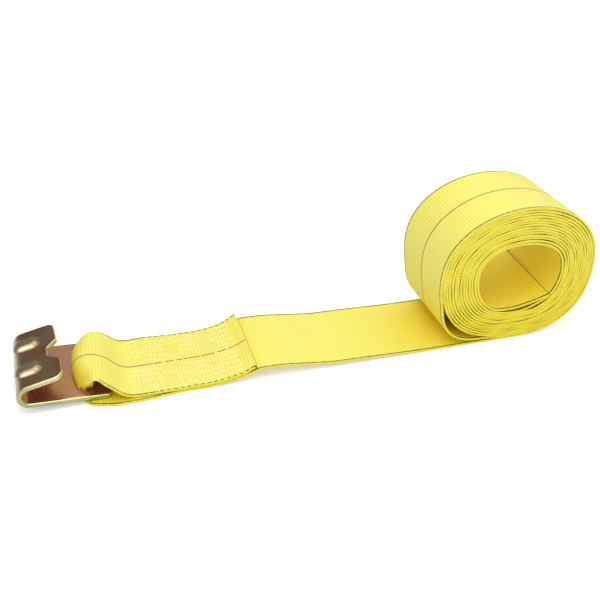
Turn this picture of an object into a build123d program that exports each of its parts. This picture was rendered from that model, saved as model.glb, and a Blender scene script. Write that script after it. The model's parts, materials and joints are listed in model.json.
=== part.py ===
from build123d import *
import os
from math import cos, sin, radians, hypot, pi

# Winch strap with a flat hook: 4 inch webbing, hook sewn into one end, the rest rolled up.
# Millimetres. +X runs from the hook along the strap to the coil, +Z is up.
# The origin is on the floor, under the rear edge of the hook's slot bar, midway across the webbing.

# webbing
WEB_WIDTH = 101.6
WEB_T = 2.4
LAYER_GAP = 0.3            # air between the two sewn layers

# flat hook
HOOK_WIDTH = 99.0
PLATE_T = 5.0
BASE_LENGTH = 76.5         # bar's rear edge to the start of the nose bend
BEND_R = 7.5               # inside radius of the nose bend
LIP_SLOPE = 15.5           # angle between lip and base, degrees
LIP_LENGTH = 36.0          # straight part of the lip
NOTCH_DEPTH = 12.0
NOTCH_MOUTH = 36.0
NOTCH_FLOOR = 15.0
NOTCH_CORNER_R = 5.0
BAR_DEPTH = 19.5           # slot bar, front to rear
SLOT_OPEN = 16.0
SLOT_LENGTH = 74.0
SLOT_CORNER_R = 3.0
REAR_CORNER_R = 4.0
PRONG_CORNER_R = 5.0
HOOK_OFFSET_Y = 6.0        # the hook sits a little to one side of the webbing
HOOK_TILT = 4.5            # the doubled webbing holds the nose up, degrees
PIVOT_Z = WEB_T + 0.1      # the bar rests on the lower layer of webbing
RIB_SPACING = 49.0
RIB_WIDTH = 18.0
RIB_PROUD = 2.2
RIB_ON_LIP = 13.0          # how far a rib runs along the straight lip
RIB_START = 75.0           # degrees round the bend, from the underside, where a rib begins

# webbing loop and sewn end
LOOP_WIDTH = 70.0          # the webbing gathers to pass through the slot
LOOP_HEIGHT = 29.0
LOOP_PATH = [
    (-11, 1.2), (-15, 1.2), (-20, 1.4), (-26.5, 2.8), (-30.6, 7), (-32.2, 12), (-30.6, 17),
    (-27.6, 21.6), (-23, 25), (-17, 27), (-11, 26.6), (-4.5, 24), (1, 19.8), (6, 14.6),
    (11, 9.8), (17, 6), (24, 4.2),
]
LOOP_REAR = 32.0           # the two layers lie together from here on
FLAP_FULL_WIDTH_X = 7.0
LOWER_FULL_WIDTH_X = -14.0
RISE_START = 92.0
FLEX_X = 150.0             # the strap flexes where the doubled part ends
RISE_HEIGHT = 11.2
FLAP_END = 147.0
FLEX_CLEARANCE = 1.4

# seam
SEAM_START = 18.0
SEAM_END = 137.0
SEAM_ROWS = 11
SEAM_ROW_PITCH = 8.6
STITCH_WIDTH = 1.0
STITCH_SUNK = 0.3
STITCH_PROUD = 0.35

# run between the sewn end and the coil
RUN_FLAT_X = 352.0
RUN_END = 385.5

# coil
COIL_START = 386.0
COIL_X = 432.0
COIL_OUTER_HALF_WIDTH = 91.2
COIL_OUTER_HALF_HEIGHT = 78.5
COIL_CENTRE_Z = 78.5
SIDE_PITCH = 2.98          # each turn lies this much inside the one before
TOP_PITCH = 3.04
BOTTOM_PITCH = 2.42        # the turns are pressed together where the coil rests
TURNS = 14
HOLE_DEPTH = 14.0          # depth of the hole's wall below the outside, in turns
CENTRE_DRIFT = 2.5         # the hole sits this much further along X than the outside
LOOSE_BULGE = 8.0          # the outermost turn stands off at the lower left
LOOSE_ANGLE = 222.0        # degrees about the coil's centre, where it stands off most
LOOSE_SPAN = 31.0
LAST_OPEN_TURN = 0.93      # the outermost turn meets the run here
FREE_END_PATH = [(419, 36.9), (434, 38.0), (452, 41.4), (468, 45.6)]


def smooth(value):
    """Smooth step from 0 to 1."""
    value = min(max(value, 0.0), 1.0)
    return value * value * (3 - 2 * value)


def sewn_underside(x):
    """Height of the sewn end's lower face: flat on the floor, then rising to the flex line."""
    if x < RISE_START:
        return 0.0
    return RISE_HEIGHT * ((x - RISE_START) / (FLEX_X - RISE_START)) ** 2


def run_underside(x):
    """Height of the run's lower face: an arch that dies away towards the coil."""
    return 8.0 * smooth((245 - x) / 85) + 3.2 * smooth((350 - x) / 115)


def spread(start, end, count):
    """Evenly spaced values, both ends included."""
    return [start + (end - start) * i / (count - 1) for i in range(count)]


def ribbon(path, thickness=WEB_T, rise=0.0):
    """Face in the XZ plane that follows a centreline at constant thickness."""
    upper = []
    lower = []
    for i, (x, z) in enumerate(path):
        x0, z0 = path[max(i - 1, 0)]
        x1, z1 = path[min(i + 1, len(path) - 1)]
        length = hypot(x1 - x0, z1 - z0)
        nx = -(z1 - z0) / length
        nz = (x1 - x0) / length
        up = rise + thickness / 2
        down = rise - thickness / 2
        upper.append((x + nx * up, z + nz * up))
        lower.append((x + nx * down, z + nz * down))
    outline = [
        Spline(*upper),
        Line(upper[-1], lower[-1]),
        Spline(*lower),
        Line(lower[0], upper[0]),
    ]
    return Plane.XZ * make_face(outline)


def across(face, width, centre_y=0.0):
    """Extrude an XZ face across the strap."""
    return Pos(0, centre_y, 0) * extrude(face, amount=width / 2, both=True)


def block(x0, x1, z0, z1, width=WEB_WIDTH):
    """Plain box given by its X and Z limits, centred on Y."""
    return Pos((x0 + x1) / 2, 0, (z0 + z1) / 2) * Box(x1 - x0, width, z1 - z0)


# ---- hook -------------------------------------------------------------------------------------

LIP_DIRECTION = Vector(cos(radians(LIP_SLOPE)), sin(radians(LIP_SLOPE)))
BEND_CENTRE = Vector(-BASE_LENGTH, PLATE_T + BEND_R)
BEND_SWEEP = 180 - LIP_SLOPE


def bend_band(inner_r, outer_r, start, lip_length):
    """Profile of a band round the bend from `start` degrees and on along the lip."""
    first = -90 - start
    turn = -(BEND_SWEEP - start)
    outer = CenterArc(BEND_CENTRE, outer_r, first, turn)
    inner = CenterArc(BEND_CENTRE, inner_r, first, turn)
    outer_tip = (outer @ 1) + LIP_DIRECTION * lip_length
    inner_tip = (inner @ 1) + LIP_DIRECTION * lip_length
    outline = [
        outer,
        Line(outer @ 1, outer_tip),
        Line(outer_tip, inner_tip),
        Line(inner_tip, inner @ 1),
        inner,
        Line(inner @ 0, outer @ 0),
    ]
    return Plane.XZ * make_face(outline)


def lip_plane():
    """Plane on the lip's underside: x along the lip, y across the hook, z out of the lip."""
    start = BEND_CENTRE + Vector(-sin(radians(LIP_SLOPE)), cos(radians(LIP_SLOPE))) * BEND_R
    return Plane(
        origin=(start.X, 0, start.Y),
        x_dir=(LIP_DIRECTION.X, 0, LIP_DIRECTION.Y),
        z_dir=(-LIP_DIRECTION.Y, 0, LIP_DIRECTION.X),
    )


def lip_notch():
    """Cutter for the rounded notch between the two prongs."""
    floor_x = LIP_LENGTH - NOTCH_DEPTH
    mouth_x = LIP_LENGTH + 1
    half_mouth = NOTCH_MOUTH / 2 + 1
    outline = Polyline(
        (floor_x, -NOTCH_FLOOR / 2), (mouth_x, -half_mouth), (mouth_x, half_mouth),
        (floor_x, NOTCH_FLOOR / 2), (floor_x, -NOTCH_FLOOR / 2),
    )
    shape = make_face(outline)
    floor_corners = shape.vertices().group_by(Axis.X)[0]
    return extrude(lip_plane() * fillet(floor_corners, NOTCH_CORNER_R), amount=12, both=True)


def hook_rib(centre_y):
    """One pressed-out rib round the bend and up the lip."""
    mid = BEND_R + PLATE_T / 2
    band = bend_band(mid, BEND_R + PLATE_T + RIB_PROUD, RIB_START, RIB_ON_LIP)
    rib = across(band, RIB_WIDTH)
    corners = rib.edges().filter_by(lambda e: e.geom_type == GeomType.LINE)
    corners = corners.filter_by(lambda e: abs(e.length - (PLATE_T / 2 + RIB_PROUD)) < 0.01)
    return Pos(0, centre_y, 0) * fillet(corners, RIB_WIDTH / 2 - 0.5)


def flat_hook():
    """Stamped hook in its place: nose up on the doubled webbing."""
    base = block(-BASE_LENGTH, 0, 0, PLATE_T, HOOK_WIDTH)
    nose = across(bend_band(BEND_R, BEND_R + PLATE_T, 0, LIP_LENGTH), HOOK_WIDTH)
    hook = base + nose
    slot_x = -BAR_DEPTH - SLOT_OPEN / 2
    opening = RectangleRounded(SLOT_OPEN, SLOT_LENGTH, SLOT_CORNER_R)
    slot = extrude(opening, amount=PLATE_T * 2, both=True)
    hook -= Pos(slot_x, 0, 0) * slot
    hook -= lip_notch()
    prong_corners = (
        hook.edges()
        .filter_by(Axis((0, 0, 0), (-LIP_DIRECTION.Y, 0, LIP_DIRECTION.X)))
        .group_by(Axis((0, 0, 0), (LIP_DIRECTION.X, 0, LIP_DIRECTION.Y)))[-1]
    )
    hook = fillet(prong_corners, PRONG_CORNER_R)
    rear_corners = hook.edges().filter_by(Axis.Z).group_by(Axis.X)[-1]
    hook = fillet(rear_corners, REAR_CORNER_R)
    for side in (-1, 1):
        hook += hook_rib(side * RIB_SPACING / 2)
    return Pos(0, HOOK_OFFSET_Y, PIVOT_Z) * Rot(0, HOOK_TILT, 0) * hook


# ---- sewn end ---------------------------------------------------------------------------------

def leg_height(x, layer):
    """Centre height of the lower (0) or upper (1) sewn layer."""
    return sewn_underside(x) + WEB_T / 2 + layer * (WEB_T + LAYER_GAP)


def leg(layer, start, end):
    """Ribbon face of one sewn layer."""
    return ribbon([(x, leg_height(x, layer)) for x in spread(start, end, 16)])


def webbing_sewn_end():
    """Lower layer, loop through the hook's slot, and sewn flap, in one folded piece."""
    loop = ribbon([*LOOP_PATH, (LOOP_REAR - 2, leg_height(0, 1)), (LOOP_REAR, leg_height(0, 1))])
    gathered = across(loop, LOOP_WIDTH, HOOK_OFFSET_Y)
    slope = across(loop, WEB_WIDTH) & block(FLAP_FULL_WIDTH_X, LOOP_REAR, 0, LOOP_HEIGHT)
    lower = block(LOWER_FULL_WIDTH_X, RISE_START, 0, WEB_T)
    lower += across(leg(0, RISE_START, FLEX_X - FLEX_CLEARANCE), WEB_WIDTH)
    flap_z = WEB_T + LAYER_GAP
    flap = block(LOOP_REAR - 1, RISE_START, flap_z, flap_z + WEB_T)
    flap += across(leg(1, RISE_START, FLAP_END), WEB_WIDTH)
    return gathered + slope + lower + flap


def seam_rows(layer, side):
    """Every row of one thread: side is +1 on top of the flap, -1 under the lower layer."""
    inner = WEB_T / 2 - STITCH_SUNK
    outer = WEB_T / 2 + (STITCH_PROUD if side > 0 else -0.02)
    path = [(x, leg_height(x, layer)) for x in spread(SEAM_START, SEAM_END, 14)]
    row = across(ribbon(path, outer - inner, side * (inner + outer) / 2), STITCH_WIDTH)
    middle = (SEAM_ROWS - 1) / 2
    return Compound(children=[Pos(0, (i - middle) * SEAM_ROW_PITCH, 0) * row for i in range(SEAM_ROWS)])


# ---- run, coil and free end -------------------------------------------------------------------

def webbing_run():
    """Single layer from the flex line to the coil, with a rounded end at the flex line."""
    start_z = RISE_HEIGHT + WEB_T / 2
    path = [(x, run_underside(x) + WEB_T / 2) for x in spread(FLEX_X, RUN_FLAT_X, 22)]
    run = across(ribbon(path), WEB_WIDTH)
    end_round = Pos(FLEX_X, 0, start_z) * Rot(90, 0, 0) * Cylinder(WEB_T / 2, WEB_WIDTH)
    return run + end_round + block(RUN_FLAT_X, RUN_END, 0, WEB_T)


def coil_outline(angle, depth):
    """Point of the coil's outline: angle in degrees about its centre, depth in turns inwards."""
    across_part = cos(radians(angle))
    up_part = sin(radians(angle))
    upright_pitch = (TOP_PITCH + BOTTOM_PITCH + (TOP_PITCH - BOTTOM_PITCH) * up_part) / 2
    half_width = COIL_OUTER_HALF_WIDTH - SIDE_PITCH * depth
    half_height = COIL_OUTER_HALF_HEIGHT - upright_pitch * depth
    power = 2.05 + 0.45 * (1 - up_part) / 2
    reach = abs(across_part / half_width) ** power + abs(up_part / half_height) ** power
    radius = reach ** (-1 / power)
    away = abs(angle - LOOSE_ANGLE) / LOOSE_SPAN
    if depth <= 1 and away < 1:
        radius += LOOSE_BULGE * cos(away * pi / 2) ** 2
    centre_x = COIL_X + CENTRE_DRIFT * depth / TURNS
    return centre_x + radius * across_part, COIL_CENTRE_Z + radius * up_part


def webbing_coil():
    """The rolled-up length of webbing, as one solid from its outermost turn to its hole."""
    outside = [coil_outline(-90 + 360 * turn, turn) for turn in spread(0, LAST_OPEN_TURN, 32)]
    outer = Spline(*outside)
    toe = outer @ 1
    floor_toe = (COIL_START, 0)
    outline = [outer, Line(toe, floor_toe), Line(floor_toe, outer @ 0)]
    hole_points = [coil_outline(angle, HOLE_DEPTH) for angle in spread(-90, 270, 33)[:-1]]
    hole = Plane.XZ * make_face(Spline(*hole_points, periodic=True))
    return across(Plane.XZ * make_face(outline), WEB_WIDTH) - across(hole, WEB_WIDTH + 2)


def webbing_free_end():
    """Cut end of the webbing, inside the coil."""
    return across(ribbon(FREE_END_PATH), WEB_WIDTH)


PARTS = {
    "flat_hook": flat_hook,
    "webbing_sewn_end": webbing_sewn_end,
    "needle_thread": lambda: seam_rows(1, 1),
    "bobbin_thread": lambda: seam_rows(0, -1),
    "webbing_run": webbing_run,
    "webbing_coil": webbing_coil,
    "webbing_free_end": webbing_free_end,
}

os.makedirs("parts", exist_ok=True)
for name, build in PARTS.items():
    export_step(build(), f"parts/{name}.step")
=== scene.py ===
import bpy
import json
import math
import numpy as np
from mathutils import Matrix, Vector
from mathutils.geometry import delaunay_2d_cdt


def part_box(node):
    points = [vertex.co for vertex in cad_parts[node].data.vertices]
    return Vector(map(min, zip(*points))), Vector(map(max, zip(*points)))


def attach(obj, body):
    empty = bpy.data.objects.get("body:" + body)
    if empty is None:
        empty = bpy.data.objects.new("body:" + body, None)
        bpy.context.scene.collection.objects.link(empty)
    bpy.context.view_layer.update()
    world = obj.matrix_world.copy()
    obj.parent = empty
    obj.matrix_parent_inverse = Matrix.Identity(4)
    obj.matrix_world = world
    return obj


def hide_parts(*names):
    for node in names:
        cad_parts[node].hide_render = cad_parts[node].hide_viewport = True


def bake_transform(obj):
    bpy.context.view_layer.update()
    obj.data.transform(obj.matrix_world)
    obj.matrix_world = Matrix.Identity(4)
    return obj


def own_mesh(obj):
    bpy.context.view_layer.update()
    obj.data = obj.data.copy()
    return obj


# Winch strap with a flat hook: looks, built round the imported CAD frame.
# Shapes are worked out in millimetres and turned into metres when a mesh is made.

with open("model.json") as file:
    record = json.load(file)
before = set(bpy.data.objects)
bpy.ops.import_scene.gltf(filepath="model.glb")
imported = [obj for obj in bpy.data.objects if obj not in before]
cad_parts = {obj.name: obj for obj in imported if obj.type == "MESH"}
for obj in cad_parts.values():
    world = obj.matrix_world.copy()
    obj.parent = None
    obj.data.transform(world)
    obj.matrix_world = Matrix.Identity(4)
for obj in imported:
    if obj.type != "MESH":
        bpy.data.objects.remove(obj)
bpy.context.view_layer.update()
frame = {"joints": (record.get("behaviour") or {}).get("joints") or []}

MM = 0.001
JOINTS = {j["name"]: j for j in frame["joints"]}


def joint_place(name):
    """Joint position in millimetres."""
    return [value / MM for value in JOINTS[name]["pos_m"]]


def node_box(name):
    """Lowest and highest corner of a CAD node in millimetres."""
    low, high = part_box(name)
    return [v / MM for v in low], [v / MM for v in high]


PIVOT_X, HOOK_Y, PIVOT_Z = joint_place("hook_swing")
FLEX_X, _, FLEX_Z = joint_place("sewn_end_lift")
ROOT_X, _, ROOT_Z = joint_place("free_end_lift")
RUN_LOW, RUN_HIGH = node_box("webbing_run")
HOOK_LOW, HOOK_HIGH = node_box("flat_hook")

# webbing
WEB_T = 2.4
HALF_T = WEB_T / 2
CORNER_R = 0.5
HALF_WIDTH = (RUN_HIGH[1] - RUN_LOW[1]) / 2
LAYER_GAP = 0.3
RIB_PITCH = 3.6
RIB_DEPTH = 0.4
STEPS_PER_RIB = 6
FLAP_END = 147.0
RISE_START = 92.0
RISE_HEIGHT = FLEX_Z - HALF_T
FLAP_CURL_X = 134.0        # the flap's free edge curls up from here
FLAP_CURL = 2.4
LOOP_REAR = 32.0
SEAM_CUT_X = 45.0          # the loop piece ends here on both layers
RUN_CUT_X = 165.0          # the run piece starts here
SLOT_NEAR_Y = HOOK_Y - 36.5
SLOT_FAR_Y = HOOK_Y + 36.5

# coil
TURNS = 13.92
SIDE_PITCH = 2.98
TOP_PITCH = 3.04
BOTTOM_PITCH = 2.42
COIL_X = 432.0
COIL_CENTRE_Z = 78.5
COIL_HALF_WIDTH = 91.2 - HALF_T
COIL_HALF_HEIGHT = COIL_CENTRE_Z - HALF_T
CENTRE_DRIFT = 2.5
LOOSE_ANGLE = 222.0        # the outermost turn hangs loose here, facing the run
LOOSE_SPREAD = 31.0
LOOSE_BULGE = 8.0

# centreline samples
STEP = 0.5
SOFTEN_REACH = 9           # samples on each side
SOFTEN_SPREAD = 4.0


# ---- centreline of the whole strap ------------------------------------------------------------

def smooth(value):
    """Smooth step from 0 to 1."""
    value = np.clip(value, 0.0, 1.0)
    return value * value * (3 - 2 * value)


def sewn_underside(x):
    """Lower face of the sewn end: flat, then rising to the flex line."""
    return RISE_HEIGHT * (max(x - RISE_START, 0.0) / (FLEX_X - RISE_START)) ** 2


def run_underside(x):
    """Lower face of the run: an arch that dies away towards the coil."""
    return 8.0 * smooth((245 - x) / 85) + 3.2 * smooth((350 - x) / 115)


def flap_centre(x):
    """Centre height of the upper sewn layer; its free edge curls up a little."""
    curl = FLAP_CURL * smooth((x - FLAP_CURL_X) / 14)
    return sewn_underside(x) + HALF_T + WEB_T + LAYER_GAP + curl


def coil_outline(turn):
    """Centreline of the spiral: turn 0 is on the floor, turns wind inwards anticlockwise."""
    angle = -90 + 360 * turn
    side = math.cos(math.radians(angle))
    up = math.sin(math.radians(angle))
    upright_pitch = (TOP_PITCH + BOTTOM_PITCH + (TOP_PITCH - BOTTOM_PITCH) * up) / 2
    half_width = COIL_HALF_WIDTH - SIDE_PITCH * turn
    half_height = COIL_HALF_HEIGHT - upright_pitch * turn
    power = 2.05 + 0.45 * (1 - up) / 2
    reach = abs(side / half_width) ** power + abs(up / half_height) ** power
    radius = reach ** (-1 / power)
    away = abs(angle - LOOSE_ANGLE) / LOOSE_SPREAD
    if away < 1:
        radius += LOOSE_BULGE * math.cos(away * math.pi / 2) ** 2
    # the innermost turns sag at the upper right and swell under the free end,
    # and the outermost ones stand out a little at the upper right
    inner = max(turn - (TURNS - 2.4), 0)
    radius -= 0.6 * inner * smooth(1 - abs((angle % 360) - 40) / 70)
    radius += 0.8 * max(1 - turn / 2, 0) * smooth(1 - abs((angle % 360) - 50) / 50)
    last = smooth((turn - TURNS + 1.3) / 0.4)
    radius -= 2.0 * last * smooth(1 - abs((angle % 360) - 302) / 26)
    return COIL_X + CENTRE_DRIFT * turn / 14 + radius * side, COIL_CENTRE_Z + radius * up


# over the bar, down through the slot and back under the hook
LOOP_PATH = [
    (24, 4.2), (17, 6), (11, 9.8), (6, 14.6), (1, 19.8), (-4.5, 24), (-11, 26.6), (-17, 27),
    (-22.3, 25.2), (-26.8, 21.8), (-29.8, 17.2), (-31.0, 12.4), (-29.8, 7.8), (-26.6, 3.0),
    (-21, 1.4), (-15, 1.2), (-11, 1.2),
]
# the free end, from the innermost turn to its cut edge
TAIL_PATH = [(ROOT_X + 7, ROOT_Z + 0.4), (436, 38.2), (450, 40.8), (463, 44.1), (474.5, 48.0)]


def catmull_rom(points, step=1.0):
    """Smooth curve through points, sampled every `step` or so."""
    points = [np.array(p, float) for p in points]
    points = [2 * points[0] - points[1], *points, 2 * points[-1] - points[-2]]
    samples = []
    for p0, p1, p2, p3 in zip(points, points[1:], points[2:], points[3:]):
        count = max(int(np.linalg.norm(p2 - p1) / step), 2)
        for t in np.arange(count) / count:
            samples.append(0.5 * (
                2 * p1 + (p2 - p0) * t + (2 * p0 - 5 * p1 + 4 * p2 - p3) * t * t
                + (3 * p1 - p0 - 3 * p2 + p3) * t ** 3
            ))
    samples.append(points[-2])
    return samples


def strap_centreline():
    """Evenly spaced (x, z) samples from the flap's cut edge to the free end in the coil."""
    line = [(x, flap_centre(x)) for x in np.arange(FLAP_END, LOOP_REAR - 1, -2.0)]
    line += catmull_rom([(30, flap_centre(30)), *LOOP_PATH])
    line += [(x, sewn_underside(x) + HALF_T) for x in np.arange(-9, FLEX_X - 1, 2.0)]
    for x in np.arange(FLEX_X, COIL_X, 2.0):
        line.append((x, run_underside(x) + HALF_T))
    count = int(TURNS * 180)
    line += [coil_outline(TURNS * i / count) for i in range(1, count + 1)]
    line += catmull_rom(TAIL_PATH, 2.0)
    line = np.array(line, float)
    length = np.concatenate([[0], np.cumsum(np.linalg.norm(np.diff(line, axis=0), axis=1))])
    even = np.arange(0, length[-1], STEP)
    line = np.stack([np.interp(even, length, line[:, k]) for k in (0, 1)], axis=1)
    return softened(line, SOFTEN_REACH)


def softened(line, reach):
    """Rounds off small corners in evenly spaced samples; the two ends stay where they are."""
    kernel = np.exp(-0.5 * (np.arange(-reach, reach + 1) / SOFTEN_SPREAD) ** 2)
    kernel /= kernel.sum()
    padded = np.concatenate([np.repeat(line[:1], reach, 0), line, np.repeat(line[-1:], reach, 0)])
    soft = np.stack([np.convolve(padded[:, k], kernel, "valid") for k in (0, 1)], axis=1)
    soft[:reach] = line[:reach]
    soft[-reach:] = line[-reach:]
    return soft


LINE = strap_centreline()
LENGTH = STEP * (len(LINE) - 1)


def at(distance):
    """Centreline point, and the normal of the tracer side, at a distance along the strap."""
    i = min(max(distance / STEP, 0), len(LINE) - 1.001)
    k = int(i)
    point = LINE[k] + (LINE[k + 1] - LINE[k]) * (i - k)
    a = LINE[max(k - 1, 0)]
    b = LINE[min(k + 2, len(LINE) - 1)]
    tangent = (b - a) / np.linalg.norm(b - a)
    return point, np.array([tangent[1], -tangent[0]])


def distance_where(test, start=0.0):
    """First distance along the strap, past start, whose point passes the test."""
    for k in range(int(start / STEP), len(LINE)):
        if test(LINE[k][0], LINE[k][1]):
            return k * STEP
    raise ValueError("no such place on the strap")


# distances of the strap's landmarks, in order from the flap's cut edge
S_FLAP_CUT = distance_where(lambda x, z: x < SEAM_CUT_X)
S_CREST = distance_where(lambda x, z: x < -14)
S_TUCK = distance_where(lambda x, z: x < -1)
S_APEX = distance_where(lambda x, z: x < -11)
S_SLOT = distance_where(lambda x, z: z < 10 and x < -25, S_CREST)
S_BELOW = distance_where(lambda x, z: x > -27, S_SLOT + 3)
S_LOWER_CUT = distance_where(lambda x, z: x > SEAM_CUT_X, S_BELOW)
S_RUN_CUT = distance_where(lambda x, z: x > RUN_CUT_X, S_LOWER_CUT)
S_COIL = distance_where(lambda x, z: x > RUN_HIGH[0], S_RUN_CUT)
S_TURN_1 = distance_where(lambda x, z: x > COIL_X and z < 20, S_COIL + 300)
S_FREE = distance_where(lambda x, z: x > ROOT_X - 8, LENGTH - 75)


# ---- webbing mesh -----------------------------------------------------------------------------

# lower leg behind the slot: distance past S_BELOW, and y of its near and far edges
LOWER_S = [0.0, 3.0, 9.0, 19.0, 33.0, 57.0, 97.0]
LOWER_NEAR = [-33.0, -42.0, -48.5, -52.3, -55.5, -55.5, -50.8]
LOWER_FAR = [43.0, 44.5, 45.5, 46.0, 46.1, 46.1, 50.8]
ROLL_R = 5.2               # radius of the turned-in edges


def rolled(flat_y, s):
    """Upper leg: its edges turn in on the way down to the slot. Gives y, depth and turn angle."""
    if flat_y < 0:
        share = max((s - S_APEX) / (S_SLOT - S_APEX), 0.0) ** 0.6
        squeeze = 1 - 0.13 * smooth((s - S_TUCK) / (S_APEX - S_TUCK))
        edge, slot_end, sign = HALF_WIDTH * squeeze, -SLOT_NEAR_Y, -1.0
        beyond = -flat_y * squeeze
    else:
        share = smooth((s - S_CREST + 34) / (S_SLOT - S_CREST + 26))
        edge, slot_end, sign = HALF_WIDTH, SLOT_FAR_Y, 1.0
        beyond = flat_y
    limit = edge - share * (edge - slot_end + ROLL_R + HALF_T)
    beyond -= limit
    if beyond <= 0:
        return sign * (limit + beyond), 0.0, 0.0
    quarter = math.pi / 2 * ROLL_R
    if beyond < quarter:
        angle = beyond / ROLL_R
        y = limit + ROLL_R * math.sin(angle)
        return sign * y, ROLL_R * (1 - math.cos(angle)), sign * angle
    return sign * (limit + ROLL_R), ROLL_R + beyond - quarter, sign * math.pi / 2


def belly(flat_y, s):
    """The loop's front bulges in the middle, over the slot's edge."""
    share = math.sin(math.pi * min(max((s - S_CREST) / (S_SLOT + 7 - S_CREST), 0.0), 1.0))
    return share * (2.4 - 7.0 * min(abs(flat_y - 4) / 38, 1.0) ** 2)


def spread_out(flat_y, s):
    """Lower leg: y as the webbing widens again behind the slot."""
    near = np.interp(s - S_BELOW, LOWER_S, LOWER_NEAR)
    far = np.interp(s - S_BELOW, LOWER_S, LOWER_FAR)
    return near + (flat_y + HALF_WIDTH) / (2 * HALF_WIDTH) * (far - near)


def section_point(flat_y, s):
    """Where a point of the flat width lies in the section at s: y, depth and turn angle."""
    if s <= S_SLOT:
        return rolled(flat_y, s)
    if s >= S_BELOW:
        wander = 0.35 * math.sin(s / 97.0) + 0.25 * math.sin(s / 41.0 + 1.3)
        return spread_out(flat_y, s) + wander * smooth((s - S_COIL) / 400), 0.0, 0.0
    share = smooth((s - S_SLOT) / (S_BELOW - S_SLOT))
    y, depth, angle = rolled(flat_y, S_SLOT)
    return y + (spread_out(flat_y, S_BELOW) - y) * share, depth * (1 - share), angle * (1 - share)


def flap_lift(x, flat_y):
    """How far the flap's far side stands up off the lower layer."""
    far = smooth((flat_y - 12) / 36)
    return far * (2.0 * math.exp(-(((x - 40) / 24) ** 2)) + 2.4 * smooth((x - 118) / 29))


def tail_twist(flat_y, s):
    """How far the free end's far edge stands higher than its near edge."""
    return 4.0 * (flat_y / HALF_WIDTH + 1) / 2 * smooth((s - S_FREE - 6) / 45)


def half_thickness(s, x, height):
    """The rolled turns are drawn a little thicker where they lie more loosely."""
    rolled_up = smooth((s - S_COIL - 60) / 60) * smooth((LENGTH - 70 - s) / 20)
    extra = 0.24 + 0.075 * min(max((COIL_X - x) / 60, -1.0), 1.0)
    return HALF_T + extra * rolled_up * smooth((height - 5) / 60)


def section_ring(columns):
    """(flat y, face offset share, corner offset, tracer side) round one section of the webbing."""
    edge = HALF_WIDTH - CORNER_R
    across = [edge * (2 * i / columns - 1) for i in range(columns + 1)]
    turns = [math.radians(a) for a in (30, 60, 90)]
    bottom = [(y, -1.0, 0.0, -1.0) for y in reversed(across)]
    ring = [(y, 1.0, 0.0, 1.0) for y in across]
    for sign, faces in ((1.0, (1.0, -1.0)), (-1.0, (-1.0, 1.0))):
        for face in faces:
            steps = turns if face == faces[0] else turns[::-1]
            for a in steps:
                y = sign * (edge + CORNER_R * math.sin(a))
                corner = -face * CORNER_R * (1 - math.cos(a))
                ring.append((y, face, corner, face * math.cos(a) * 0.8))
        if sign > 0:
            ring += bottom
    return ring


def rib_drop(s, side):
    """How far the face lies below the rib tops at s."""
    wave = 0.5 - 0.5 * math.cos(2 * math.pi * s / RIB_PITCH)
    return RIB_DEPTH * wave * wave * abs(side) ** 2


def stations(start, end, steps_per_rib):
    """Distances from start to end that keep in step with the ribs."""
    step = RIB_PITCH / steps_per_rib
    inside = np.arange(math.ceil(start / step + 1e-6) * step, end - 1e-6, step)
    return [start, *inside, end]


def add_mesh(name, vertices, faces):
    """New object from vertices in millimetres."""
    mesh = bpy.data.meshes.new(name)
    mesh.from_pydata([tuple(c * MM for c in v) for v in vertices], [], faces)
    mesh.validate()
    mesh.update()
    piece = bpy.data.objects.new(name, mesh)
    bpy.context.scene.collection.objects.link(piece)
    return piece


def add_values(piece, key, values):
    """Stores one number per vertex for the materials."""
    layer = piece.data.attributes.new(key, "FLOAT", "POINT")
    layer.data.foreach_set("value", np.array(values, np.float32))


def webbing(name, distances, columns):
    """Closed piece of webbing through the given distances along the strap."""
    ring = section_ring(columns)
    vertices, along, across, side = [], [], [], []
    for s in distances:
        point, normal = at(s)
        half = half_thickness(s, *point)
        for flat_y, face, corner, tracer_side in ring:
            y, depth, angle = section_point(flat_y, s)
            out = face * (half - rib_drop(s, tracer_side)) + corner
            lift = out * math.cos(angle) - depth
            lift += belly(flat_y, s) * math.cos(angle)
            if s < S_CREST:
                lift += flap_lift(point[0], flat_y)
            y += out * math.sin(angle)
            z = point[1] + normal[1] * lift + tail_twist(flat_y, s)
            vertices.append((point[0] + normal[0] * lift, y, z))
            along.append(s)
            across.append(flat_y)
            side.append(tracer_side)
    count = len(ring)
    faces = [tuple(range(count))]
    for row in range(len(distances) - 1):
        base = row * count
        for k in range(count):
            n = (k + 1) % count
            faces.append((base + k, base + count + k, base + count + n, base + n))
    last = (len(distances) - 1) * count
    faces.append(tuple(last + k for k in reversed(range(count))))
    piece = add_mesh(name, vertices, faces)
    for key, values in (("along", along), ("across", across), ("side", side)):
        add_values(piece, key, values)
    piece.data.shade_smooth()
    sharp_ends(piece, count, last)
    piece.data.materials.append(webbing_material())
    return piece


def sharp_ends(piece, count, last):
    """Keeps the cut ends crisp."""
    for edge in piece.data.edges:
        a, b = edge.vertices
        if max(a, b) < count or min(a, b) >= last:
            edge.use_edge_sharp = True


# ---- materials --------------------------------------------------------------------------------

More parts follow.
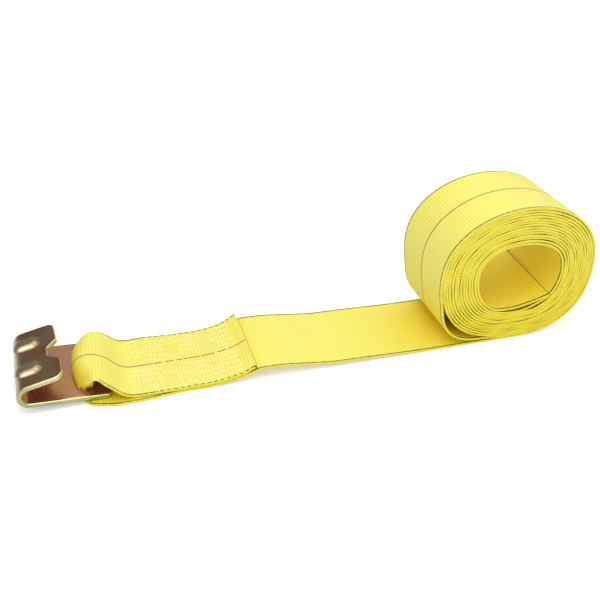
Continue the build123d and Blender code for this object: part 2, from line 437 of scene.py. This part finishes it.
class Nodes:
    """Short way to build a material's nodes."""

    def __init__(self, name):
        self.material = bpy.data.materials.new(name)
        self.material.use_nodes = True
        self.tree = self.material.node_tree
        self.shader = self.tree.nodes["Principled BSDF"]

    def add(self, kind, inputs=None, **settings):
        node = self.tree.nodes.new(kind)
        for key, value in settings.items():
            setattr(node, key, value)
        for key, value in (inputs or {}).items():
            self.set(node.inputs[key], value)
        return node

    def set(self, socket, value):
        if isinstance(value, bpy.types.NodeSocket):
            self.tree.links.new(value, socket)
        else:
            socket.default_value = value

    def attribute(self, name):
        return self.add("ShaderNodeAttribute", attribute_name=name).outputs["Fac"]

    def math(self, operation, a, b=0.0, c=0.0, clamp=False):
        node = self.add("ShaderNodeMath", operation=operation, use_clamp=clamp)
        for socket, value in zip(node.inputs, (a, b, c)):
            self.set(socket, value)
        return node.outputs[0]

    def mix(self, factor, a, b):
        node = self.add("ShaderNodeMix", data_type="RGBA")
        self.set(node.inputs[0], factor)
        self.set(node.inputs[6], a)
        self.set(node.inputs[7], b)
        return node.outputs[2]

    def noise(self, scale, detail=2.0, vector=None):
        node = self.add("ShaderNodeTexNoise", {"Scale": scale, "Detail": detail})
        if vector is None:
            vector = self.add("ShaderNodeTexCoord").outputs["Object"]
        self.set(node.inputs["Vector"], vector)
        return node.outputs["Fac"]

    def band(self, value, centre, half_width, softness):
        """1 within half_width of centre, fading over softness."""
        off = self.math("ABSOLUTE", self.math("SUBTRACT", value, centre))
        edge = self.math("SUBTRACT", half_width + softness, off)
        return self.math("DIVIDE", edge, softness, clamp=True)

    def wave(self, value, pitch, phase=0.0):
        """Cosine of value with the given pitch, from 0 to 1."""
        turns = self.math("MULTIPLY_ADD", value, 2 * math.pi / pitch, phase)
        return self.math("MULTIPLY_ADD", self.math("COSINE", turns), 0.5, 0.5)

    def bump(self, height, distance, strength=1.0):
        node = self.add("ShaderNodeBump", {"Strength": strength, "Distance": distance})
        self.set(node.inputs["Height"], height)
        return node.outputs["Normal"]


LEMON = ((0.80, 0.77, 0.10, 1), (0.85, 0.84, 0.17, 1))
PAINTED_SHADE_GOLD = (0.93, 0.70, 0.003, 1)
PAINTED_GROOVE_SHADE = (0.62, 0.43, 0.008, 1)
FIBRE_PALE = (0.90, 0.86, 0.14, 1)
EDGE_YARN = ((0.60, 0.49, 0.008, 1), (0.80, 0.70, 0.02, 1))
CENTRE_REDS = ((0.28, 0.06, 0.004, 1), (0.46, 0.06, 0.005, 1))
TRACER_DARK = (0.045, 0.052, 0.008, 1)
TRACER_HALF = 0.7          # half width of a tracer yarn
PAINTED_SHADE_REACH = 0.11          # metres; webbing shut in closer than this is given painted golden shade


def webbing_material():
    """Yellow ribbed polyester with a red-brown centre tracer on one face and dark edge tracers;
    golden shade is painted into its folds and rib grooves.
    """
    made = bpy.data.materials.get("webbing_yellow")
    if made:
        return made
    n = Nodes("webbing_yellow")
    along, across, side = (n.attribute(key) for key in ("along", "across", "side"))
    rib = n.wave(along, RIB_PITCH)
    warp = n.wave(across, 1.3, phase=0.4)
    weave = n.math("MULTIPLY", rib, n.math("MULTIPLY_ADD", warp, 0.25, 0.75))
    cloudy = n.noise(30.0, 3.0)
    fibre = n.noise(900.0, 2.0)
    # painted shade: where ambient occlusion finds the webbing shut in, its colour turns golden and
    # its sheen and specular drop
    open_to = n.add("ShaderNodeAmbientOcclusion", {"Distance": PAINTED_SHADE_REACH}, samples=8).outputs["AO"]
    open_to = n.math("POWER", open_to, 1.6)
    yellow = n.mix(open_to, PAINTED_SHADE_GOLD, n.mix(cloudy, *LEMON))
    # painted shade: the grooves between the ribs are coloured darker golden
    ribbed = n.mix(n.math("MULTIPLY_ADD", weave, 0.33, 0.67), PAINTED_GROOVE_SHADE, yellow)
    flecked = n.mix(n.math("MULTIPLY", fibre, 0.12), ribbed, FIBRE_PALE)
    selvedge = n.band(n.math("ABSOLUTE", side), 0.0, 0.82, 0.1)
    edge_yarn = n.mix(n.wave(along, 1.1), *EDGE_YARN)
    edged = n.mix(n.math("MULTIPLY", selvedge, 0.8), flecked, edge_yarn)
    front = n.math("GREATER_THAN", side, 0.5)
    broken = n.add("ShaderNodeTexNoise", {"Scale": 1.0, "Detail": 1.0}, noise_dimensions="1D")
    n.set(broken.inputs["W"], n.math("MULTIPLY", along, 0.16))
    dashes = n.math("MULTIPLY_ADD", broken.outputs["Fac"], 7.0, -2.3, clamp=True)
    sewn = n.math("LESS_THAN", along, FLAP_END - SEAM_CUT_X)
    gaps = n.math("SUBTRACT", 1.0, n.math("MULTIPLY", sewn, n.math("SUBTRACT", 1.0, dashes)))
    centre = n.math("MULTIPLY", n.band(across, 0.0, TRACER_HALF, 0.3), front)
    centre = n.math("MULTIPLY", n.math("MULTIPLY", centre, gaps), 0.96)
    reds = n.mix(n.noise(40.0), *CENTRE_REDS)
    with_centre = n.mix(centre, edged, reds)
    edge_line = n.band(n.math("ABSOLUTE", across), HALF_WIDTH - 1.75, TRACER_HALF, 0.3)
    edge_line = n.math("MULTIPLY", edge_line, n.math("MULTIPLY_ADD", dashes, 0.3, 0.7))
    edge_line = n.math("MULTIPLY", edge_line, n.math("GREATER_THAN", n.math("ABSOLUTE", side), 0.6))
    tucked = n.band(along, (S_APEX + S_BELOW) / 2, (S_BELOW - S_APEX) / 2 + 1, 2.0)
    covered = n.math("MULTIPLY", sewn, n.math("GREATER_THAN", n.wave(along, 6.8), 0.62))
    hidden = n.math("MAXIMUM", tucked, n.math("MULTIPLY", covered, 0.8))
    edge_line = n.math("MULTIPLY", edge_line, n.math("SUBTRACT", 1.0, hidden))
    corners = n.band(n.math("ABSOLUTE", across), HALF_WIDTH, 1.6, 0.4)
    frayed = n.math("MULTIPLY", corners, n.band(along, 0.0, 1.2, 0.4))
    cut = n.math("MULTIPLY", n.band(along, LENGTH, 1.0, 0.5), 0.45)
    dark = n.math("MAXIMUM", edge_line, n.math("MAXIMUM", frayed, cut))
    n.set(n.shader.inputs["Base Color"], n.mix(dark, with_centre, TRACER_DARK))
    n.set(n.shader.inputs["Roughness"], n.math("MULTIPLY_ADD", weave, -0.12, 0.6))
    n.set(n.shader.inputs["Sheen Weight"], n.math("MULTIPLY", open_to, 0.14))
    n.set(n.shader.inputs["Sheen Roughness"], 0.5)
    n.set(n.shader.inputs["Specular IOR Level"], n.math("MULTIPLY_ADD", open_to, 0.45, 0.17))
    height = n.math("MULTIPLY_ADD", fibre, 0.35, weave)
    n.set(n.shader.inputs["Normal"], n.bump(height, 0.00035, 0.8))
    return n.material


def thread_material():
    """Bonded white polyester thread with its twist."""
    n = Nodes("seam_thread")
    scales = {"Scale": 900.0, "Distortion": 1.0}
    twist = n.add("ShaderNodeTexWave", scales, bands_direction="DIAGONAL")
    n.set(twist.inputs["Vector"], n.add("ShaderNodeTexCoord").outputs["Object"])
    worn = n.math("MULTIPLY_ADD", n.noise(70.0, 2.0), 4.0, -1.5, clamp=True)
    bright = n.mix(worn, (0.86, 0.84, 0.30, 1), (0.95, 0.97, 0.80, 1))
    # painted shade: the grooves of the twist are coloured darker and yellower
    lit = n.math("MULTIPLY_ADD", twist.outputs["Fac"], 0.6, 0.3)
    shade = n.mix(lit, (0.80, 0.77, 0.20, 1), bright)
    n.set(n.shader.inputs["Base Color"], shade)
    n.set(n.shader.inputs["Roughness"], 0.5)
    n.set(n.shader.inputs["Sheen Weight"], 0.3)
    n.set(n.shader.inputs["Normal"], n.bump(twist.outputs["Fac"], 0.0001, 0.5))
    return n.material


BRONZE = ((0.15, 0.045, 0.012, 1), (0.19, 0.08, 0.024, 1))
OLIVE = (0.155, 0.12, 0.05, 1)
RIB_TOP_REFLECTION_TAN = (0.24, 0.19, 0.10, 1)
BEND_HIGHLIGHT_SAND = (0.62, 0.45, 0.27, 1)
RIB_FLANK_HIGHLIGHT_CREAM = (0.70, 0.58, 0.40, 1)
COPPER = ((0.52, 0.22, 0.08, 1), (0.56, 0.33, 0.13, 1))
PLUM = (0.47, 0.23, 0.20, 1)
BEND_INSIDE_HIGHLIGHT_GOLD = (0.95, 0.60, 0.10, 1)
GRAZING_REFLECTION_PALE = (0.80, 0.66, 0.46, 1)
SHEARED = ((0.43, 0.50, 0.21, 1), (0.74, 0.62, 0.38, 1))


def zinc_material():
    """Yellow zinc plating: bronze outside, redder inside, pale sheared edges with green tints;
    painted highlights on the bend and on the ribs' flanks, and painted reflection on the rib tops
    and at grazing angles.
    """
    n = Nodes("yellow_zinc")
    edge, outside, bend = n.attribute("sheared"), n.attribute("outside"), n.attribute("bend")
    pressed, rib_highlight = n.attribute("pressed"), n.attribute("rib_highlight")
    patch = n.noise(26.0, 3.0)
    streak = n.noise(30.0, 1.0)
    fine = n.noise(240.0, 3.0)
    facing = n.add("ShaderNodeLayerWeight", {"Blend": 0.3}).outputs["Facing"]
    bronze = n.mix(patch, *BRONZE)
    olive = n.math("MULTIPLY_ADD", streak, 5.0, -2.2, clamp=True)
    bronze = n.mix(n.math("MULTIPLY", olive, 0.85), bronze, OLIVE)
    # painted reflection: the higher a rib stands, the more tan-olive its plating is coloured
    bronze = n.mix(n.math("MULTIPLY", pressed, 0.8), bronze, RIB_TOP_REFLECTION_TAN)
    # painted highlight: the outside of the bend is coloured pale sand
    bronze = n.mix(bend, bronze, BEND_HIGHLIGHT_SAND)
    # painted highlight: the ribs' lower near flanks and far feet are coloured cream
    bronze = n.mix(rib_highlight, bronze, RIB_FLANK_HIGHLIGHT_CREAM)
    copper = n.mix(patch, *COPPER)
    plum = n.math("MULTIPLY_ADD", streak, 5.0, -2.0, clamp=True)
    copper = n.mix(n.math("MULTIPLY", plum, 0.9), copper, PLUM)
    # painted highlight: the inside of the bend is coloured gold
    copper = n.mix(n.math("MULTIPLY", bend, 1.8, clamp=True), copper, BEND_INSIDE_HIGHLIGHT_GOLD)
    faces = n.mix(outside, copper, bronze)
    # painted reflection: surfaces seen at a grazing angle are coloured paler
    grazing_glint = n.math("MULTIPLY", n.math("POWER", facing, 2.0), 0.55)
    grazing = n.mix(grazing_glint, faces, GRAZING_REFLECTION_PALE)
    tint = n.math("MULTIPLY_ADD", n.noise(30.0, 1.0), 5.0, -2.0, clamp=True)
    n.set(n.shader.inputs["Base Color"], n.mix(edge, grazing, n.mix(tint, *SHEARED)))
    n.set(n.shader.inputs["Metallic"], 0.92)
    n.set(n.shader.inputs["Roughness"], n.math("MULTIPLY_ADD", fine, 0.03, 0.26))
    n.set(n.shader.inputs["Normal"], n.bump(fine, 0.00005, 0.02))
    return n.material


# ---- hook -------------------------------------------------------------------------------------

PLATE_T = 5.0
BASE_LENGTH = 76.5
BEND_R = 7.5
LIP_SLOPE = math.radians(15.5)
LIP_LENGTH = 36.0
HOOK_TILT = math.radians(3.7)
HOOK_YAW = math.radians(2.0)
HALF_HOOK = (HOOK_HIGH[1] - HOOK_LOW[1]) / 2
BAR_DEPTH = 19.5
SLOT_OPEN = 11.6
SLOT_HALF = 37.0
MID_R = BEND_R + PLATE_T / 2
BEND_LENGTH = MID_R * (math.pi - LIP_SLOPE)
FLAT_LENGTH = BASE_LENGTH + BEND_LENGTH + LIP_LENGTH
EDGE_ROUND = 0.9
NOTCH_DEPTH = 12.0
RIB_CENTRES = (-20.5, 24.5)
RIB_PROUD = 3.0
RIB_FIRST_ANGLE = 146.0    # round the bend, from the base
RIB_ON_LIP = 8.0
RIB_FOOT_R = 10.5
RIB_SIDE = 5.0             # width of a rib's sloping side


def rounded(corners, step=1.5):
    """Closed outline through (x, y, radius) corners, with arcs, sampled about every step."""
    outline = []
    count = len(corners)
    for i, (x, y, radius) in enumerate(corners):
        p = np.array([x, y], float)
        before = np.array(corners[i - 1][:2], float) - p
        after = np.array(corners[(i + 1) % count][:2], float) - p
        before /= np.linalg.norm(before)
        after /= np.linalg.norm(after)
        half = math.acos(np.clip(before @ after, -1, 1)) / 2
        back = radius / math.tan(half)
        centre = p + (before + after) / np.linalg.norm(before + after) * radius / math.sin(half)
        a = p + before * back - centre
        b = p + after * back - centre
        sweep = math.atan2(a[0] * b[1] - a[1] * b[0], a @ b)
        parts = max(int(abs(sweep) * radius / 0.7), 3)
        for k in range(parts + 1):
            turn = sweep * k / parts
            c, s = math.cos(turn), math.sin(turn)
            outline.append(centre + np.array([a[0] * c - a[1] * s, a[0] * s + a[1] * c]))
    dense = []
    for a, b in zip(outline, outline[1:] + outline[:1]):
        parts = max(int(np.linalg.norm(b - a) / step), 1)
        dense += [a + (b - a) * k / parts for k in range(parts)]
    return np.array(dense)


def inset(outline, amount):
    """Outline moved to its left by amount."""
    ahead = np.roll(outline, -1, 0) - np.roll(outline, 1, 0)
    ahead /= np.linalg.norm(ahead, axis=1)[:, None]
    return outline + np.stack([-ahead[:, 1], ahead[:, 0]], axis=1) * amount


def inside(points, outline):
    """Which points lie inside a closed outline."""
    x, y = points[:, 0], points[:, 1]
    hit = np.zeros(len(points), bool)
    for a, b in zip(outline, np.roll(outline, -1, 0)):
        if a[1] == b[1]:
            continue
        crosses = (a[1] > y) != (b[1] > y)
        hit ^= crosses & (x < (b[0] - a[0]) * (y - a[1]) / (b[1] - a[1]) + a[0])
    return hit


def hook_outlines():
    """Flattened plate: outer outline anticlockwise and slot clockwise, as (along, across)."""
    w = HALF_HOOK
    end = FLAT_LENGTH
    floor = end - NOTCH_DEPTH
    outer = rounded([
        (0, -w, 4), (end, -w, 9), (end, -18, 8), (floor, -8, 5),
        (floor, 6, 5), (end - 1.5, 17.5, 2), (end - 2.5, w, 8), (0, w, 4),
    ])
    rear, front = BAR_DEPTH, BAR_DEPTH + SLOT_OPEN
    slot = rounded([
        (rear, -SLOT_HALF, 3), (rear, SLOT_HALF, 3),
        (front, SLOT_HALF, 6.5), (front, -SLOT_HALF, 6.5),
    ])
    return outer, slot


def rib_height(along, across):
    """How far the plate is pressed outwards by the two ribs round the bend."""
    first = BASE_LENGTH + MID_R * math.radians(RIB_FIRST_ANGLE)
    last = BASE_LENGTH + BEND_LENGTH + RIB_ON_LIP
    height = 0.0
    for centre in RIB_CENTRES:
        off = max(1.5 * (first - along), along - last, 0.0)
        distance = math.hypot(off, across - centre)
        height += RIB_PROUD * float(smooth((RIB_FOOT_R - distance) / RIB_SIDE))
    return height


def bent(along, across, out):
    """Place of a flattened plate point, `out` millimetres to the outside of the mid surface."""
    out += rib_height(along, across)
    if along < BASE_LENGTH:
        x, z = -along, PLATE_T / 2 - out
    else:
        angle = min((along - BASE_LENGTH) / MID_R, math.pi - LIP_SLOPE)
        radius = MID_R + out
        x = -BASE_LENGTH - radius * math.sin(angle)
        z = PLATE_T + BEND_R - radius * math.cos(angle)
        rest = along - BASE_LENGTH - BEND_LENGTH
        if rest > 0:
            x += rest * math.cos(LIP_SLOPE)
            z += rest * math.sin(LIP_SLOPE)
    c, s = math.cos(HOOK_TILT), math.sin(HOOK_TILT)
    x, z = x * c + z * s, z * c - x * s
    c, s = math.cos(HOOK_YAW), math.sin(HOOK_YAW)
    return x * c - across * s + PIVOT_X, across * c + x * s + HOOK_Y, z + PIVOT_Z


def plate_face(outlines):
    """Triangles of the flattened plate between its outlines, on a regular fill of points."""
    outer, slot = outlines
    grid = np.array([
        (x, y) for x in np.arange(1.5, FLAT_LENGTH, 1.6)
        for y in np.arange(-HALF_HOOK + 1.0, HALF_HOOK, 2.4)
    ])
    margin = 1.0
    keep = inside(grid, inset(outer, margin)) & ~inside(grid, inset(slot, margin))
    points = np.concatenate([outer, slot, grid[keep]])
    edges = [(i, (i + 1) % len(outer)) for i in range(len(outer))]
    start = len(outer)
    edges += [(start + i, start + (i + 1) % len(slot)) for i in range(len(slot))]
    made = delaunay_2d_cdt([Vector(p) for p in points], edges, [], 0, 1e-5)
    flat = np.array([tuple(v) for v in made[0]])
    triangles = np.array(made[2])
    middles = flat[triangles].mean(axis=1)
    ok = inside(middles, outer) & ~inside(middles, slot)
    origin = {old: new for new, olds in enumerate(made[3]) for old in olds}
    return flat, triangles[ok], origin


def plate_shades(along, across):
    """Painted highlight on the bend, how far a rib stands out, and the painted highlight on a rib's
    sides.
    """
    angle = math.degrees((along - BASE_LENGTH) / MID_R)
    # painted highlight: a band round the bend, strongest near 122 degrees
    band = math.exp(-(((angle - 122) / 14) ** 2))
    bend_highlight = max(0.5 * float(smooth((angle - 20) / 60) * smooth((160 - angle) / 30)), band)
    height = rib_height(along, across) / RIB_PROUD
    slope = (rib_height(along, across + 0.8) - rib_height(along, across - 0.8)) / 1.6
    fade = 1 - 0.5 * float(smooth((along - BASE_LENGTH - BEND_LENGTH) / 14))
    # painted highlight: bright on a rib's lower near flank, fainter at its far foot
    near_side = fade * float(smooth((slope - 0.45) / 0.45) * smooth((0.95 - height) / 0.4))
    far_foot = 0.5 * float(smooth(-slope / 0.3)) * math.exp(-(((height - 0.16) / 0.12) ** 2))
    return bend_highlight, height, max(near_side, far_foot)


def ring_row(vertices, sheared, line, share, out):
    """One row of vertices round a rounded plate edge; returns their indices."""
    start = len(vertices)
    for x, y in inset(line, EDGE_ROUND * share):
        vertices.append(bent(x, y, out))
        sheared.append(1.0)
    return list(range(start, len(vertices)))


def flat_hook():
    """Stamped hook with rounded edges, slot, notch and pressed ribs."""
    outlines = hook_outlines()
    flat, triangles, origin = plate_face([inset(line, EDGE_ROUND) for line in outlines])
    half = PLATE_T / 2
    vertices, sheared, faces = [], [], []
    shades = {key: [] for key in ("outside", "bend", "pressed", "rib_highlight")}
    for out in (half, -half):
        vertices += [bent(x, y, out) for x, y in flat]
        sheared += [0.0] * len(flat)
        shades["outside"] += [float(out > 0)] * len(flat)
        for x, y in flat:
            bend_highlight, pressed, rib_highlight = plate_shades(x, y)
            shades["bend"].append(bend_highlight)
            shades["pressed"].append(pressed)
            shades["rib_highlight"].append(rib_highlight)
    count = len(flat)
    faces += [tuple(t) for t in triangles]
    faces += [tuple(count + i for i in reversed(t)) for t in triangles]
    start = 0
    for line in outlines:
        size = len(line)
        rows = [[origin[start + i] for i in range(size)]]
        for face, degrees in ((1, 30), (1, 60), (1, 90), (-1, 90), (-1, 60), (-1, 30)):
            turn = math.radians(degrees)
            out = face * (half - EDGE_ROUND * (1 - math.cos(turn)))
            rows.append(ring_row(vertices, sheared, line, 1 - math.sin(turn), out))
        rows.append([count + origin[start + i] for i in range(size)])
        for upper, lower in zip(rows, rows[1:]):
            for i in range(size):
                n = (i + 1) % size
                faces.append((upper[n], upper[i], lower[i], lower[n]))
        start += size
    piece = add_mesh("hook_plate", vertices, faces)
    add_values(piece, "sheared", sheared)
    for key, values in shades.items():
        filler = float(key == "outside")
        add_values(piece, key, values + [filler] * (len(vertices) - len(values)))
    piece.data.shade_smooth()
    piece.data.materials.append(zinc_material())
    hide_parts("flat_hook")
    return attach(piece, "hook")


# ---- seam -------------------------------------------------------------------------------------

SEAM_START = 18.0
SEAM_END = 137.0
SEAM_ROWS = 11
ROW_PITCH = 8.6
THREAD_R = 0.42
STRAIGHT_BANDS = ((22.0, 34.0), (72.0, 88.0), (116.0, SEAM_END))
ZIGZAG_HALF = 3.3
ZIGZAG_STEP = 1.8
STRAIGHT_STEP = 3.6
STRAIGHT_LENGTH = 3.4


def layer_height(x, y, layer, out):
    """Height just outside the sewn layers: top of the flap (1) or under the lower layer (0)."""
    if layer:
        return flap_centre(x) + flap_lift(x, y) + HALF_T + out
    return sewn_underside(x) - out


def stitch(vertices, faces, start, end, layer):
    """One visible stitch: a thin arched tube between two needle holes, given as (x, y)."""
    segments, sides = 5, 6
    a, b = np.array(start, float), np.array(end, float)
    run = b - a
    run /= np.linalg.norm(run)
    cross = np.array([-run[1], run[0]])
    base = len(vertices)
    for k in range(segments + 1):
        t = k / segments
        x, y = a + (b - a) * t
        arch = THREAD_R * (1.5 * math.sin(math.pi * t) - 0.9)
        swell = THREAD_R * (0.75 + 0.25 * math.sin(math.pi * t))
        for m in range(sides):
            turn = 2 * math.pi * m / sides
            px = x + cross[0] * swell * math.cos(turn)
            py = y + cross[1] * swell * math.cos(turn)
            vertices.append((px, py, layer_height(px, py, layer, arch + swell * math.sin(turn))))
    for k in range(segments):
        for m in range(sides):
            n = (m + 1) % sides
            first = base + k * sides
            faces.append((first + m, first + n, first + sides + n, first + sides + m))
    faces.append(tuple(base + m for m in reversed(range(sides))))
    last = base + segments * sides
    faces.append(tuple(last + m for m in range(sides)))


def seam_thread(name, layer, node):
    """Zigzag rows with bands of straight stitches; the middle row straddles the tracer."""
    vertices, faces = [], []
    middle = SEAM_ROWS // 2
    for row in range(SEAM_ROWS):
        centre = (row - (SEAM_ROWS - 1) / 2) * ROW_PITCH
        lane = 2.2 if row == middle else 0.6
        x, up = SEAM_START, 1
        while x < SEAM_END - 3:
            if row == middle or any(a <= x < b - 3 for a, b in STRAIGHT_BANDS):
                for y in (centre - lane, centre + lane):
                    stitch(vertices, faces, (x, y), (x + STRAIGHT_LENGTH, y), layer)
                x += STRAIGHT_STEP
                continue
            left, right = centre - up * ZIGZAG_HALF, centre + up * ZIGZAG_HALF
            stitch(vertices, faces, (x, left), (x + ZIGZAG_STEP, right), layer)
            x += ZIGZAG_STEP
            up = -up
    piece = add_mesh(name, vertices, faces)
    piece.data.shade_smooth()
    piece.data.materials.append(THREAD)
    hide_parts(node)
    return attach(piece, "sewn_end")


# ---- build ------------------------------------------------------------------------------------


COLUMNS = 16               # across the webbing
LOOP_COLUMNS = 64
COIL_COLUMNS = 12
HIDDEN_STEP = 4.0          # spacing along the turns inside the coil, whose faces can't be seen
SEEN_INSIDE = 330.0        # length of webbing, up to the cut end, that is seen through the hole


def build_webbing():
    """The strap, cut where its rigid bodies meet."""
    flap = webbing("webbing_flap", stations(0.0, S_FLAP_CUT, STEPS_PER_RIB), COLUMNS)
    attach(flap, "sewn_end")
    loop = webbing("webbing_loop", stations(S_FLAP_CUT, S_LOWER_CUT, STEPS_PER_RIB), LOOP_COLUMNS)
    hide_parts("webbing_sewn_end")
    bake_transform(loop)
    lower = webbing("webbing_lower_layer", stations(S_LOWER_CUT, S_RUN_CUT, STEPS_PER_RIB), COLUMNS)
    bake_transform(lower)
    run = webbing("webbing_run_length", stations(S_RUN_CUT, S_COIL, STEPS_PER_RIB), COLUMNS)
    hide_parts("webbing_run")
    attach(run, "run")
    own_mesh(run)
    seen_again = LENGTH - SEEN_INSIDE
    distances = stations(S_COIL, S_TURN_1, STEPS_PER_RIB)
    distances += list(np.arange(S_TURN_1 + HIDDEN_STEP, seen_again, HIDDEN_STEP))
    distances += stations(seen_again, S_FREE, STEPS_PER_RIB)
    coil = webbing("webbing_rolled_length", distances, COIL_COLUMNS)
    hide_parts("webbing_coil")
    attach(coil, "coil")
    tail = webbing("webbing_tail", stations(S_FREE, LENGTH, STEPS_PER_RIB), COLUMNS)
    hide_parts("webbing_free_end")
    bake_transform(tail)


def build_stage():
    """Pale floor, soft light, and the camera."""
    scene = bpy.context.scene
    scene.view_settings.view_transform = "Standard"
    mesh = bpy.data.meshes.new("floor")
    size = 6.0
    just_below = -0.0003
    corners = [(-size, -size), (size, -size), (size, size), (-size, size)]
    mesh.from_pydata([(x, y, just_below) for x, y in corners], [], [(0, 1, 2, 3)])
    floor = bpy.data.objects.new("floor", mesh)
    scene.collection.objects.link(floor)
    n = Nodes("pale_floor")
    n.set(n.shader.inputs["Base Color"], (0.82, 0.82, 0.82, 1))
    n.set(n.shader.inputs["Roughness"], 0.9)
    n.set(n.shader.inputs["Specular IOR Level"], 0.2)
    n.set(n.shader.inputs["Emission Color"], (1, 1, 1, 1))
    seen = n.add("ShaderNodeLightPath").outputs["Is Camera Ray"]
    n.set(n.shader.inputs["Emission Strength"], n.math("MULTIPLY", seen, 0.38))
    floor.data.materials.append(n.material)
    build_world(scene)
    add_area("key", (0.1, -0.45, 1.2), (0.25, 0, 0.05), 0.9, 5.0)
    add_area("front", (0.15, -1.3, 0.45), (0.3, 0, 0.06), 0.8, 5.0)
    add_area("back", (0.9, 0.6, 1.0), (0.3, 0, 0.05), 1.2, 2.5)
    scene.camera = add_camera()
    scene.collection.objects.link(scene.camera)


def add_camera():
    """The camera fitted to the photo."""
    camera = bpy.data.objects.new("camera", bpy.data.cameras.new("camera"))
    camera.data.lens = 51.0
    camera.data.clip_end = 20
    camera.location = (-0.0041, -0.7392, 0.5159)
    camera.rotation_euler = (math.radians(90 - 30.89), 0, math.radians(-15.93))
    return camera


def build_world(scene):
    """Even light all round; reflections see a bright ceiling over darker walls."""
    world = bpy.data.worlds.new("studio")
    world.use_nodes = True
    tree = world.node_tree
    path = tree.nodes.new("ShaderNodeLightPath")
    split = tree.nodes.new("ShaderNodeSeparateXYZ")
    tree.links.new(tree.nodes.new("ShaderNodeTexCoord").outputs["Generated"], split.inputs[0])
    ceiling = tree.nodes.new("ShaderNodeMapRange")
    for socket, value in zip(ceiling.inputs[1:5], (0.58, 0.92, 0.4, 3.0)):
        socket.default_value = value
    tree.links.new(split.outputs["Z"], ceiling.inputs[0])
    strength = 0.78
    for share, level in (
        (path.outputs["Is Glossy Ray"], ceiling.outputs[0]),
        (path.outputs["Is Camera Ray"], 1.0),
    ):
        mix = tree.nodes.new("ShaderNodeMix")
        tree.links.new(share, mix.inputs[0])
        for socket, value in ((mix.inputs[2], strength), (mix.inputs[3], level)):
            if isinstance(value, bpy.types.NodeSocket):
                tree.links.new(value, socket)
            else:
                socket.default_value = value
        strength = mix.outputs[0]
    tree.links.new(strength, tree.nodes["Background"].inputs["Strength"])
    tree.nodes["Background"].inputs["Color"].default_value = (1, 1, 1, 1)
    scene.world = world


def add_area(name, place, target, size, power):
    """Soft square light aimed at a point."""
    light = bpy.data.lights.new(name, "AREA")
    light.size = size
    light.energy = power
    lamp = bpy.data.objects.new(name, light)
    lamp.location = place
    lamp.rotation_euler = (Vector(target) - Vector(place)).to_track_quat("-Z", "Y").to_euler()
    bpy.context.scene.collection.objects.link(lamp)


THREAD = thread_material()
build_webbing()
flat_hook()
seam_thread("needle_stitches", 1, "needle_thread")
seam_thread("bobbin_stitches", 0, "bobbin_thread")
build_stage()
